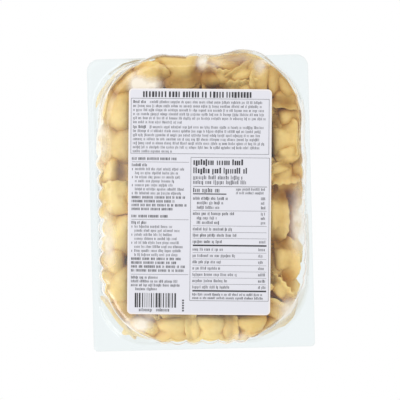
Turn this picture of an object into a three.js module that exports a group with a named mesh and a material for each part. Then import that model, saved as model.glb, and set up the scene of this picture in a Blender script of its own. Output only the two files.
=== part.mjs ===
// A sealed clear tray of fresh tortellini, lying on its lid film with the tray's
// fluted shell and its printed label uppermost.
//
// Millimetres, +Z up, +X to the right of the label, +Y to the label's top edge.
// The origin is on the surface that the pack lies on, below the middle of the flange.
//
// From the bottom up: the lid film, the tray (a thin thermoformed shell with a flange),
// the heap of tortellini that fills it, and the label on the shell's flat panel.

import * as THREE from "three";

// ---- Driving dimensions ------------------------------------------------------

const GAP = 0.3; // clearance between touching pieces
const FILM_THICKNESS = 0.3;
const SHELL_THICKNESS = 0.8;
const LABEL_THICKNESS = 0.2;
const PACK_HEIGHT = 36; // from the ground to the shell's flat panel

// Rounded rectangles: half sizes, centre, and the radius of each corner, from the
// one at +X +Y round to the one at +X -Y, anticlockwise.
const FLANGE = { halfX: 78, halfY: 103, x: 0, y: 0, radii: [8.5, 8.5, 3, 3] };
const FOOT = { halfX: 73.8, halfY: 99.4, x: 0.6, y: 0.8, radii: [38, 32, 34, 44] };
const SHOULDER = { halfX: 68.2, halfY: 96.6, x: 1.2, y: 2.6, radii: [45, 43, 46, 52] };
const LABEL = { halfX: 48, halfY: 75.8, x: 0, y: 0, radii: [3, 3, 3, 3] };

const LABEL_CENTRE = [-0.9, 0.9];
const LABEL_TURN = THREE.MathUtils.degToRad(-1.95);

// Flutes run up the wall: each is a lobe that bulges outwards between two creases.
const FLUTE_DEPTH = 2.4;
const FLUTES = { corner: 6, longSide: 9, shortSide: 4 }; // lobes in a corner and along a side
const STEPS_PER_FLUTE = 3;

// The wall's profile from the flange up to the flat panel. Each level has a height,
// how far it has gone from the foot's outline to the shoulder's, how far it is set
// in from that outline, and its share of the flutes' depth. The first is the flange's
// top, and the second is above the small round at the wall's foot.
const FLANGE_BOTTOM = FILM_THICKNESS + GAP;
const FLANGE_TOP = FLANGE_BOTTOM + SHELL_THICKNESS;
const FOOT_INSET = 1.4;
const WALL = [
  { z: FLANGE_TOP, rise: 0, inset: 0, flute: 0 },
  { z: 3.6, rise: 0, inset: FOOT_INSET, flute: 0.3 },
  { z: 26, rise: 1, inset: 0, flute: 1 },
  { z: 32, rise: 1, inset: 1.7, flute: 0.9 },
  { z: 35, rise: 1, inset: 5, flute: 0.5 },
  { z: PACK_HEIGHT, rise: 1, inset: 9.6, flute: 0 },
];

// The heap is set in from the shell. Its sides are dented and its top is a crowd of
// rounded pieces, made of rings that shrink to the middle.
const HEAP_CLEARANCE = 1;
const HEAP_DENT = 1.1;
const HEAP_TOP = PACK_HEIGHT - SHELL_THICKNESS - 0.6;
const HEAP_VALLEY = 26.5;
const HEAP_RINGS = 12;
const PIECE_LENGTH = 29; // one tortellino, as it lies in the heap
const PIECE_WIDTH = 21;

// ---- Outlines ----------------------------------------------------------------

const smooth = (low, high, value) => THREE.MathUtils.smoothstep(value, low, high);

// The four corners, anticlockwise from +X +Y, each with the side that follows it.
const QUARTERS = [
  { signX: 1, signY: 1, sideFlutes: FLUTES.shortSide },
  { signX: -1, signY: 1, sideFlutes: FLUTES.longSide },
  { signX: -1, signY: -1, sideFlutes: FLUTES.shortSide },
  { signX: 1, signY: -1, sideFlutes: FLUTES.longSide },
];

function cornerPoint(outline, quarter, angle) {
  const { signX, signY } = QUARTERS[quarter];
  const radius = outline.radii[quarter];
  return {
    x: outline.x + signX * (outline.halfX - radius) + radius * Math.cos(angle),
    y: outline.y + signY * (outline.halfY - radius) + radius * Math.sin(angle),
    normalX: Math.cos(angle),
    normalY: Math.sin(angle),
  };
}

// One closed ring of points. Corners and sides always get the same number of points,
// so any two rings can be joined by a band of faces.
function ringOf(outline) {
  const ring = [];
  QUARTERS.forEach(({ sideFlutes }, quarter) => {
    const start = (quarter * Math.PI) / 2;
    const cornerSteps = FLUTES.corner * STEPS_PER_FLUTE;
    for (let i = 0; i < cornerSteps; i++) {
      const point = cornerPoint(outline, quarter, start + ((i / cornerSteps) * Math.PI) / 2);
      const lobe = Math.sin((Math.PI * (i % STEPS_PER_FLUTE)) / STEPS_PER_FLUTE);
      const turn = (2 * i) / cornerSteps - 1;
      ring.push({ ...point, lobe: lobe * smooth(0.3, 0.8, Math.abs(turn)) });
    }
    const from = cornerPoint(outline, quarter, start + Math.PI / 2);
    const to = cornerPoint(outline, (quarter + 1) % 4, start + Math.PI / 2);
    const sideSteps = sideFlutes * STEPS_PER_FLUTE;
    for (let i = 0; i < sideSteps; i++) {
      const along = i / sideSteps;
      ring.push({
        ...from,
        x: THREE.MathUtils.lerp(from.x, to.x, along),
        y: THREE.MathUtils.lerp(from.y, to.y, along),
        lobe: Math.sin((Math.PI * (i % STEPS_PER_FLUTE)) / STEPS_PER_FLUTE),
      });
    }
  });
  return ring;
}

// How far a point is outside an outline; negative inside it.
function distanceOutside(outline, x, y) {
  const dx = x - outline.x;
  const dy = y - outline.y;
  const quarter = QUARTERS.findIndex(({ signX, signY }) => dx * signX >= 0 && dy * signY >= 0);
  const radius = outline.radii[quarter];
  const beyondX = Math.abs(dx) - outline.halfX + radius;
  const beyondY = Math.abs(dy) - outline.halfY + radius;
  const reach = Math.hypot(Math.max(beyondX, 0), Math.max(beyondY, 0));
  return reach + Math.min(Math.max(beyondX, beyondY), 0) - radius;
}

// How far out along its normal a ring's point meets another outline.
function reachTo(outline, { x, y, normalX, normalY }) {
  let near = -8;
  let far = 30;
  for (let i = 0; i < 30; i++) {
    const middle = (near + far) / 2;
    if (distanceOutside(outline, x + normalX * middle, y + normalY * middle) < 0) near = middle;
    else far = middle;
  }
  return near;
}

const flangeRing = ringOf(FLANGE);
const shoulderRing = ringOf(SHOULDER);
const footReach = shoulderRing.map((point) => reachTo(FOOT, point));

// The wall's ring at one level, moved inwards by extra and down by drop. The flutes
// stand square to the shoulder's outline.
function wallRing({ z, rise, inset, flute }, extra = 0, drop = 0, withFlutes = true) {
  return shoulderRing.map(({ x, y, normalX, normalY, lobe }, i) => {
    const bulge = withFlutes ? FLUTE_DEPTH * flute * lobe : 0;
    const out = footReach[i] * (1 - rise) + bulge - inset - extra;
    return new THREE.Vector3(x + normalX * out, y + normalY * out, z - drop);
  });
}

const flatRing = (ring, z) => ring.map(({ x, y }) => new THREE.Vector3(x, y, z));

function middleOf(ring) {
  const sum = ring.reduce((total, point) => total.add(point), new THREE.Vector3());
  return sum.divideScalar(ring.length);
}

// ---- Solids ------------------------------------------------------------------

// A closed surface through rings that run from the bottom or inside to the top, with
// both ends shut by a fan to the ring's middle or to a given point.
function loft(rings, firstMiddle = middleOf(rings[0]), lastMiddle = middleOf(rings.at(-1))) {
  const count = rings[0].length;
  const points = [...rings.flat(), firstMiddle, lastMiddle];
  const first = points.length - 2;
  const last = points.length - 1;
  const lastRing = (rings.length - 1) * count;
  const faces = [];
  for (let i = 0; i < count; i++) {
    const next = (i + 1) % count;
    faces.push(first, next, i);
    for (let level = 0; level < rings.length - 1; level++) {
      const low = level * count;
      const high = low + count;
      faces.push(low + i, low + next, high + next);
      faces.push(low + i, high + next, high + i);
    }
    faces.push(last, lastRing + i, lastRing + next);
  }
  const geometry = new THREE.BufferGeometry().setFromPoints(points);
  geometry.setIndex(faces);
  geometry.computeVertexNormals();
  return geometry;
}

// The shell, from the middle of the panel's underside down the inner wall, out under
// the flange, and back over its edge and up the outer wall.
function trayGeometry() {
  const inner = WALL.slice(1).map((level) => {
    const lean = smooth(WALL[2].z, PACK_HEIGHT, level.z);
    return wallRing(level, SHELL_THICKNESS * (1 - 0.5 * lean), SHELL_THICKNESS * lean);
  });
  const innerFoot = wallRing({ ...WALL[0], z: FLANGE_BOTTOM, inset: FOOT_INSET }, SHELL_THICKNESS);
  return loft([
    ...inner.reverse(),
    innerFoot,
    flatRing(flangeRing, FLANGE_BOTTOM),
    flatRing(flangeRing, FLANGE_TOP),
    ...WALL.map((level) => wallRing(level)),
  ]);
}

// A plain repeatable random number from 0 to 1 for two whole numbers.
function scatter(a, b) {
  const wave = Math.sin(a * 127.1 + b * 311.7) * 43758.5453;
  return wave - Math.floor(wave);
}

// How far a point is inside one rounded piece lying in the heap's top layer: 1 at the
// piece's middle and 0 at its rim.
function pieceAt(x, y, column, row) {
  const middleX = (column + 0.5 * (row % 2) + 0.4 * (scatter(column, row) - 0.5)) * PIECE_LENGTH;
  const middleY = (row + 0.3 * (scatter(row, column) - 0.5)) * PIECE_WIDTH;
  const turn = (scatter(column + 7, row + 3) - 0.5) * Math.PI;
  const dx = x - middleX;
  const dy = y - middleY;
  const along = (dx * Math.cos(turn) + dy * Math.sin(turn)) / (0.62 * PIECE_LENGTH);
  const across = (dy * Math.cos(turn) - dx * Math.sin(turn)) / (0.66 * PIECE_WIDTH);
  return Math.sqrt(Math.max(0, 1 - along * along - across * across));
}

function heapTopAt(x, y) {
  const column = Math.round(x / PIECE_LENGTH);
  const row = Math.round(y / PIECE_WIDTH);
  let height = 0;
  for (let c = column - 2; c <= column + 2; c++) {
    for (let r = row - 2; r <= row + 2; r++) {
      const share = 0.8 + 0.2 * scatter(c + 11, r + 5);
      height = Math.max(height, share * pieceAt(x, y, c, r));
    }
  }
  return THREE.MathUtils.lerp(HEAP_VALLEY, HEAP_TOP, height);
}

// The heap follows the inside of the shell, with a bumpy side and top.
function heapGeometry() {
  const extra = SHELL_THICKNESS + HEAP_CLEARANCE;
  const bottom = wallRing({ ...WALL[0], z: FLANGE_BOTTOM, inset: FOOT_INSET + HEAP_DENT }, extra);
  const sides = WALL.slice(1, 3).map((level, index) =>
    wallRing(level, extra, 0, false).map((point, i) => {
      const dent = HEAP_DENT * (1 + Math.sin(i * 0.52 + index * 2.1));
      const { normalX, normalY } = shoulderRing[i];
      return point.sub(new THREE.Vector3(normalX * dent, normalY * dent, 0));
    }),
  );
  const rim = sides.at(-1);
  const middle = middleOf(rim);
  const top = [];
  for (let k = 1; k <= HEAP_RINGS; k++) {
    const size = 1 - k / (HEAP_RINGS + 1);
    top.push(
      rim.map((point) => {
        const x = THREE.MathUtils.lerp(middle.x, point.x, size);
        const y = THREE.MathUtils.lerp(middle.y, point.y, size);
        return new THREE.Vector3(x, y, heapTopAt(x, y));
      }),
    );
  }
  middle.z = heapTopAt(middle.x, middle.y);
  return loft([bottom, ...sides, ...top], undefined, middle);
}

// A flat sheet with the given outline, standing on z = 0.
function sheetGeometry({ halfX, halfY, radii }, thickness) {
  const shape = new THREE.Shape();
  radii.forEach((radius, quarter) => {
    const { signX, signY } = QUARTERS[quarter];
    const start = (quarter * Math.PI) / 2;
    const x = signX * (halfX - radius);
    const y = signY * (halfY - radius);
    shape.absarc(x, y, radius, start, start + Math.PI / 2, false);
  });
  return new THREE.ExtrudeGeometry(shape, {
    depth: thickness,
    bevelEnabled: false,
    curveSegments: 8,
  });
}

// ---- The pack ----------------------------------------------------------------

const CLEAR_PLASTIC = { color: 0xeef4f4, roughness: 0.12, transparent: true, opacity: 0.3 };

function piece(name, geometry, finish) {
  const mesh = new THREE.Mesh(geometry, new THREE.MeshStandardMaterial({ metalness: 0, ...finish }));
  mesh.name = name;
  return mesh;
}

const pack = new THREE.Group();

pack.add(piece("lid_film", sheetGeometry(FLANGE, FILM_THICKNESS), CLEAR_PLASTIC));
pack.add(piece("tray", trayGeometry(), CLEAR_PLASTIC));
pack.add(piece("tortellini", heapGeometry(), { color: 0xe8cd92, roughness: 0.6 }));

const label = piece("label", sheetGeometry(LABEL, LABEL_THICKNESS), { color: 0xe9e9f2, roughness: 0.5 });
label.position.set(...LABEL_CENTRE, PACK_HEIGHT + GAP);
label.rotation.z = LABEL_TURN;
pack.add(label);

export default pack;
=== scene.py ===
"""Looks for a sealed clear tray of fresh tortellini, lying on its lid film.

The tray's fluted shell is uppermost, with a printed information label on its flat
panel. Every shape is worked out in millimetres in the pack's own frame: the origin is
below the middle of the flange, +Z points up and +Y to the label's top edge.
"""

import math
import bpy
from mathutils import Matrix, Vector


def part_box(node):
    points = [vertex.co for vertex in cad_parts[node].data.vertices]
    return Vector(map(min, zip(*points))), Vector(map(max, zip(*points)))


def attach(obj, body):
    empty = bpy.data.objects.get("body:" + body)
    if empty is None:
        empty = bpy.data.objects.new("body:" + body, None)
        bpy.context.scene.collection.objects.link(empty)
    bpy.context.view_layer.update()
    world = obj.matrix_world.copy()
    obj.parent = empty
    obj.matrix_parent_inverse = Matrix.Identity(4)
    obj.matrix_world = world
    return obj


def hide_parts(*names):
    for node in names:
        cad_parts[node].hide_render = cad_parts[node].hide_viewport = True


bl_info = {
    "name": "Tortellini Tray",
    "version": (1, 0, 0),
    "blender": (4, 5, 0),
    "location": "View3D > Sidebar > Tortellini",
    "description": "Builds the pasta, the clear tray, the lid film and the label of a sealed pack",
    "category": "Object",
}

import bpy
import numpy as np
from bpy.props import FloatProperty, FloatVectorProperty, IntProperty, PointerProperty
from mathutils import Vector
from mathutils.kdtree import KDTree

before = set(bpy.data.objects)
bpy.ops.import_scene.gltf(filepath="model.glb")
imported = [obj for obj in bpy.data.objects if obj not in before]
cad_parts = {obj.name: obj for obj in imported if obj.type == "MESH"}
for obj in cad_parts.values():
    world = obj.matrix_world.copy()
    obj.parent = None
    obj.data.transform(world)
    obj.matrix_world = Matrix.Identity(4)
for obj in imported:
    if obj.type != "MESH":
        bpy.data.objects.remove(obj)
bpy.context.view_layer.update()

MM = 0.001
ROOT = "root"


# ---- Driving sizes, in millimetres ---------------------------------------------------


def box_mm(node):
    """A node's lowest and highest corners in millimetres."""
    low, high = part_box(node)
    return np.array(low) / MM, np.array(high) / MM


FILM_HIGH = box_mm("lid_film")[1]
TRAY_HIGH = box_mm("tray")[1]
LABEL_LOW, LABEL_HIGH = box_mm("label")

# Rounded rectangles: half sizes, centre, and corner radii anticlockwise from +X +Y.
FLANGE = {"half": (FILM_HIGH[0], FILM_HIGH[1]), "centre": (0, 0), "radii": (8.5, 8.5, 3, 3)}
FOOT = {"half": (73.8, 99.4), "centre": (0.6, 0.8), "radii": (38, 32, 34, 44)}
SHOULDER = {"half": (68.2, 96.6), "centre": (1.2, 2.6), "radii": (45, 43, 46, 52)}
LABEL = {"half": (48, 75.8), "centre": (0, 0), "radii": (3, 3, 3, 3)}
LABEL_CENTRE = (LABEL_LOW + LABEL_HIGH) / 2
LABEL_TURN = math.radians(-1.95)

SHEET = 0.4  # thickness of the tray's clear sheet
FLANGE_TOP = 1.2
FOOT_ROUND = 1.5
BEAD, BEAD_AT = 0.5, 25.0  # a small bead where the flutes end below the shoulder
WALL_TOP = 24  # where the wall stops leaning in
WALL_LEAN = 0.9  # below 1, the wall leans in most near its foot
SHOULDER_LOW = 27  # where the wall starts to round over into the panel
SHOULDER_ROUND = 8.5
PANEL = TRAY_HIGH[2]

# The flutes in each side of the wall: the side, one crease's place along it, the first
# and last place that they reach, and how far the lobes stand out.
FLUTE_PITCH = 10.9
FLUTE_ROUND = 0.75  # below 1, the lobes are full and the creases between them sharp
FLUTE_FADE = 8  # how far past its first and last place a row of flutes fades out
FLUTES = (
    {"side": (-1, 0), "crease": 1.0, "first": -60, "last": 36, "depth": 3.0},
    {"side": (1, 0), "crease": 2.3, "first": -60, "last": 30, "depth": 1.2},
    {"side": (0, -1), "crease": -1.5, "first": -30, "last": 34, "depth": 2.2},
    {"side": (0, 1), "crease": -8.1, "first": -20, "last": 8, "depth": 0.8},
)

# The shoulder's edge carries a painted highlight on the side of the pack that the lights
# face and a little on the right, and painted shade at the top.
EDGE_AT, EDGE_WIDE = 27.0, 1.6
BRIGHT_SIDE = (-0.8, -0.6)
EDGE_HIGHLIGHT, EDGE_HIGHLIGHT_RIGHT = 0.6, 0.4
PAINTED_SHINE = 0.11  # how much painted shine on the bright side pales the sheet over what is below
DARK_SIDE = (0.0, 1.0)
EDGE_SHADE = 0.9
WALL_SHADE = 0.3  # how much painted shade dims the steep right wall and what shows through it
FOLD_HIGHLIGHT = 1.2  # how pale a fold's painted highlight is

# Soft swells in the sheet: middle in plan, reach, and how far it stands out.
SWELLS = (
    (-24, 99, 11, 2.0),
    (0, 99, 9, 1.6),
    (22, 99, 12, 2.0),
    (38, 96, 13, 4.6),
    (56, 86, 12, 1.5),
    (66, 72, 12, 1.5),
    (-66, 44, 12, 2.6),
)

# Creases in the sheet where it has been dented: from one place of the plan to another,
# how far the sheet stands out (or in) and how wide the fold is.
CREASES = (
    ((24, 101), (41, 92), 0.9, 4.0),
    ((34, 104), (53, 89), 1.2, 4.0),
    ((44, 99), (58, 84), -0.9, 3.0),
    ((52, 94), (66, 72), 1.3, 3.5),
    ((58, 82), (71, 62), -0.8, 3.0),
    ((62, 74), (72, 48), 0.9, 3.0),
    ((-34, 100), (-10, 95), 0.8, 3.0),
    ((-66, 60), (-70, 50), -1.2, 4.0),
)


# ---- Outlines ------------------------------------------------------------------------


def smooth(low, high, value):
    """0 below low, 1 above high, and a soft step between."""
    t = np.clip((np.asarray(value, float) - low) / (high - low), 0, 1)
    return t * t * (3 - 2 * t)


def ring(outline, corner=72, long_side=108, short_side=48):
    """Points and outward normals round an outline, anticlockwise from +X's top end."""
    half_x, half_y = outline["half"]
    centre = np.array(outline["centre"], float)
    signs = ((1, 1), (-1, 1), (-1, -1), (1, -1))
    arcs = []
    for quarter, (sign_x, sign_y) in enumerate(signs):
        radius = outline["radii"][quarter]
        middle = centre + (sign_x * (half_x - radius), sign_y * (half_y - radius))
        angle = (quarter + np.arange(corner + 1) / corner) * math.pi / 2
        normal = np.stack([np.cos(angle), np.sin(angle)], 1)
        arcs.append((middle + radius * normal, normal))
    points, normals = [], []
    for quarter, (arc, normal) in enumerate(arcs):
        steps = short_side if quarter % 2 == 0 else long_side
        along = (np.arange(steps) / steps)[:, None]
        points += [arc[:-1], arc[-1] + along * (arcs[(quarter + 1) % 4][0][0] - arc[-1])]
        normals += [normal[:-1], np.repeat(normal[-1:], steps, 0)]
    return np.concatenate(points), np.concatenate(normals)


def outside(outline, points):
    """How far points are outside an outline; negative inside it."""
    offset = points - np.array(outline["centre"], float)
    right, top = offset[..., 0] >= 0, offset[..., 1] >= 0
    radii = outline["radii"]
    radius = np.where(
        top, np.where(right, radii[0], radii[1]), np.where(right, radii[3], radii[2])
    )
    beyond = np.abs(offset) - np.array(outline["half"]) + radius[..., None]
    reach = np.linalg.norm(np.maximum(beyond, 0), axis=-1)
    return reach + np.minimum(beyond.max(-1), 0) - radius


def reach_to(outline, points, normals):
    """How far out along their normals points meet another outline."""
    near, far = np.full(len(points), -8.0), np.full(len(points), 30.0)
    for _ in range(30):
        middle = (near + far) / 2
        inside = outside(outline, points + normals * middle[:, None]) < 0
        near, far = np.where(inside, middle, near), np.where(inside, far, middle)
    return near


SHOULDER_POINTS, SHOULDER_NORMALS = ring(SHOULDER)
FOOT_REACH = reach_to(FOOT, SHOULDER_POINTS, SHOULDER_NORMALS)


def rise_at(z):
    """How far the wall has gone from the foot's outline to the shoulder's."""
    return np.clip((z - FLANGE_TOP) / (WALL_TOP - FLANGE_TOP), 0, 1) ** WALL_LEAN


def inset_at(z):
    """How far the shoulder's round is set in from its outline."""
    t = np.clip((z - SHOULDER_LOW) / (PANEL - SHOULDER_LOW), 0, 1)
    return SHOULDER_ROUND * (1 - np.sqrt(np.maximum(0, 1 - t * t)))


def flute_lobes(plan, normals):
    """How far each place on the wall stands out in a flute's lobe."""
    lobes = np.zeros(len(plan))
    for flute in FLUTES:
        side = np.array(flute["side"], float)
        along = plan @ np.abs(side[::-1])
        wave = np.abs(np.sin(np.pi * (along - flute["crease"]) / FLUTE_PITCH)) ** FLUTE_ROUND
        first, last = flute["first"], flute["last"]
        fade = smooth(first - FLUTE_FADE, first + FLUTE_FADE, along)
        fade *= 1 - smooth(last - FLUTE_FADE, last + FLUTE_FADE, along)
        lobes += flute["depth"] * wave * fade * smooth(0.6, 0.85, normals @ side)
    return lobes


def swell_push(plan):
    """How far the sheet's dents and swells move each place on the wall outwards."""
    push = np.zeros(len(plan))
    for x, y, reach, height in SWELLS:
        gap = np.linalg.norm(plan - (x, y), axis=1) / reach
        push += height * np.exp(-gap * gap)
    return push


def along_line(plan, start, end):
    """How far along a line each place is, from 0 to 1, and how far from it."""
    start, end = np.array(start, float), np.array(end, float)
    line = end - start
    share = np.clip((plan - start) @ line / (line @ line), 0, 1)
    return share, np.linalg.norm(plan - start - share[:, None] * line, axis=1)


def crease_push(plan):
    """How far the sharp creases push each place on the wall outwards."""
    push = np.zeros(len(plan))
    for start, end, height, width in CREASES:
        share, gap = along_line(plan, start, end)
        taper = np.sin(np.pi * (0.15 + 0.7 * share))
        push += height * taper * np.maximum(0, 1 - gap / width)
    return push


def ease(value, limit, room):
    """Leaves values below limit - room alone, and eases the others up to the limit."""
    start = limit - room
    over = np.maximum(value - start, 0) / room
    return np.minimum(value, start) + room * (1 - np.exp(-over))


UPPER_GAP, LOWER_GAP = 0.4, 0.7  # how far off the sheet the two kinds of piece stay
CEILING = PANEL - SHEET - UPPER_GAP  # how high the pasta reaches below the panel
GIVE_TOP, GIVE = 2.4, 2  # how far dough gives below the panel, and against wall and film


def press_inside(points, margin, ceiling=CEILING):
    """Flattens points softly against the inside of the tray, as dough lies on its wall."""
    height = ease(points[:, 2], ceiling, GIVE_TOP)
    height = -ease(-height, -FILM_HIGH[2] - 0.2, GIVE)
    rise, inset = rise_at(height), inset_at(height)
    plan = points[:, :2].copy()
    step = 0.05
    for turn in range(3):

        def beyond(at):
            return rise * outside(SHOULDER, at) + (1 - rise) * outside(FOOT, at)

        slope_x = beyond(plan + (step, 0)) - beyond(plan - (step, 0))
        slope_y = beyond(plan + (0, step)) - beyond(plan - (0, step))
        slope = np.stack([slope_x, slope_y], 1)
        slope /= np.maximum(np.linalg.norm(slope, axis=1, keepdims=True), 1e-9)
        room = (flute_lobes(plan, slope) + swell_push(plan)) * smooth(4, 16, height)
        over = beyond(plan) + inset + SHEET + margin - room
        limited = ease(over, 0, GIVE) if turn == 0 else np.minimum(over, 0)
        plan -= slope * (over - limited)[:, None]
    return np.column_stack([plan, height])


# ---- Meshes --------------------------------------------------------------------------


def make_object(name, points, faces, material=None, attributes=None, smooth_shade=True):
    """A mesh object at the origin from millimetre points, with its point attributes."""
    mesh = bpy.data.meshes.new(name)
    mesh.from_pydata((np.asarray(points) * MM).tolist(), [], [list(f) for f in faces])
    for key, values in (attributes or {}).items():
        layer = mesh.attributes.new(key, "FLOAT", "POINT")
        layer.data.foreach_set("value", np.asarray(values, np.float32))
    mesh.polygons.foreach_set("use_smooth", [smooth_shade] * len(mesh.polygons))
    mesh.update()
    piece = bpy.data.objects.new(name, mesh)
    bpy.context.scene.collection.objects.link(piece)
    if material:
        mesh.materials.append(material)
    return piece


def loft_faces(rows, count, first=None, last=None):
    """Faces that join rings of count points, with a fan to a point at either end."""
    i = np.arange(count)
    nxt = (i + 1) % count
    faces = []
    for row in range(rows - 1):
        low, high = row * count, (row + 1) * count
        faces += np.stack([low + i, low + nxt, high + nxt, high + i], 1).tolist()
    if first is not None:
        faces += np.stack([np.full(count, first), nxt, i], 1).tolist()
    if last is not None:
        end = (rows - 1) * count
        faces += np.stack([np.full(count, last), end + i, end + nxt], 1).tolist()
    return faces


def closed_loft(rows, first, last):
    """Points and faces of a shape lofted through rings and closed at a point at each end."""
    points = np.concatenate([*rows, [first, last]])
    end = len(points) - 1
    return points, loft_faces(len(rows), len(rows[0]), end - 1, end)


def vertex_values(mesh, key):
    """A mesh's vertex places or normals, one row each."""
    flat = np.empty(len(mesh.vertices) * 3, np.float32)
    mesh.vertices.foreach_get(key, flat)
    return flat.reshape(-1, 3)


# ---- Node helpers --------------------------------------------------------------------


def new_material(name):
    """A material with an empty node tree and an output, and its tree."""
    material = bpy.data.materials.new(name)
    material.use_nodes = True
    tree = material.node_tree
    tree.nodes.clear()
    output = tree.nodes.new("ShaderNodeOutputMaterial")
    output.location = (900, 0)
    return material, tree, output


def add_node(tree, kind, place, inputs=None, **settings):
    """One node with its settings and its unlinked inputs."""
    node = tree.nodes.new(kind)
    node.location = place
    for key, value in settings.items():
        setattr(node, key, value)
    for key, value in (inputs or {}).items():
        node.inputs[key].default_value = value
    return node


def math_node(tree, operation, place, first, second, clamp=False):
    """A Math node; first and second are numbers or output sockets."""
    node = add_node(tree, "ShaderNodeMath", place, operation=operation, use_clamp=clamp)
    for socket, value in zip(node.inputs, (first, second)):
        if isinstance(value, (int, float)):
            socket.default_value = value
        else:
            tree.links.new(value, socket)
    return node.outputs[0]


def mix_colour(tree, place, factor, first, second):
    """A colour Mix node; factor and colours are values or output sockets."""
    node = add_node(tree, "ShaderNodeMix", place, data_type="RGBA")
    sockets = (node.inputs[0], node.inputs[6], node.inputs[7])
    for socket, value in zip(sockets, (factor, first, second)):
        if hasattr(value, "node"):
            tree.links.new(value, socket)
        else:
            socket.default_value = value
    return node.outputs[2]


def bump_node(tree, place, strength, distance, height, normal=None):
    """A Bump node over another normal, or over the bare surface."""
    node = add_node(tree, "ShaderNodeBump", place, {"Strength": strength, "Distance": distance})
    tree.links.new(height, node.inputs["Height"])
    if normal:
        tree.links.new(normal, node.inputs["Normal"])
    return node.outputs[0]


def surface_node(tree, place, colour, inputs):
    """A Principled BSDF with a colour that varies over the surface."""
    node = add_node(tree, "ShaderNodeBsdfPrincipled", place, inputs)
    tree.links.new(colour, node.inputs["Base Color"])
    return node


def add_socket(tree, name, kind, default=None, in_out="INPUT"):
    """One named socket on a node tree's outside."""
    socket = tree.interface.new_socket(name, in_out=in_out, socket_type="NodeSocket" + kind)
    if default is not None:
        socket.default_value = default


def mottle_group():
    """Soft uneven blotches and a fine grain, for dough, paper and plastic alike."""
    if "Mottle" in bpy.data.node_groups:
        return bpy.data.node_groups["Mottle"]
    group = bpy.data.node_groups.new("Mottle", "ShaderNodeTree")
    add_socket(group, "Blotch scale", "Float", 80)
    add_socket(group, "Grain scale", "Float", 900)
    add_socket(group, "Blotches", "Float", in_out="OUTPUT")
    add_socket(group, "Grain", "Float", in_out="OUTPUT")
    inputs = add_node(group, "NodeGroupInput", (-600, 0))
    outputs = add_node(group, "NodeGroupOutput", (300, 0))
    place = add_node(group, "ShaderNodeTexCoord", (-600, 200))
    blotch = add_node(group, "ShaderNodeTexNoise", (-300, 150), {"Detail": 3.0, "Roughness": 0.55})
    grain = add_node(group, "ShaderNodeTexNoise", (-300, -150), {"Detail": 2.0, "Roughness": 0.6})
    for node, socket, output in ((blotch, 0, 0), (grain, 1, 1)):
        group.links.new(place.outputs["Object"], node.inputs["Vector"])
        group.links.new(inputs.outputs[socket], node.inputs["Scale"])
        group.links.new(node.outputs["Fac"], outputs.inputs[output])
    return group


def add_mottle(tree, place, blotch_scale, grain_scale):
    """The mottle group in a material, with its own scales."""
    node = add_node(tree, "ShaderNodeGroup", place, node_tree=mottle_group())
    node.inputs["Blotch scale"].default_value = blotch_scale
    node.inputs["Grain scale"].default_value = grain_scale
    return node


# ---- Materials -----------------------------------------------------------------------


CLEAR_FACE = (0.99, 0.99, 0.985, 1)  # colour of the clear sheet's shine
SHEEN_FACE = (0.97, 0.925, 0.84, 1)  # colour of its face under painted highlights and reflections
PAINTED_SHADE_TINT = (0.60, 0.46, 0.24, 1)  # colour of the painted shade seen through it
SHEEN_GAIN = 1.6  # how quickly painted highlights and reflections cover the face
SHEEN_ROUGH = 0.85  # roughness of a face fully covered by painted highlights


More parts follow.
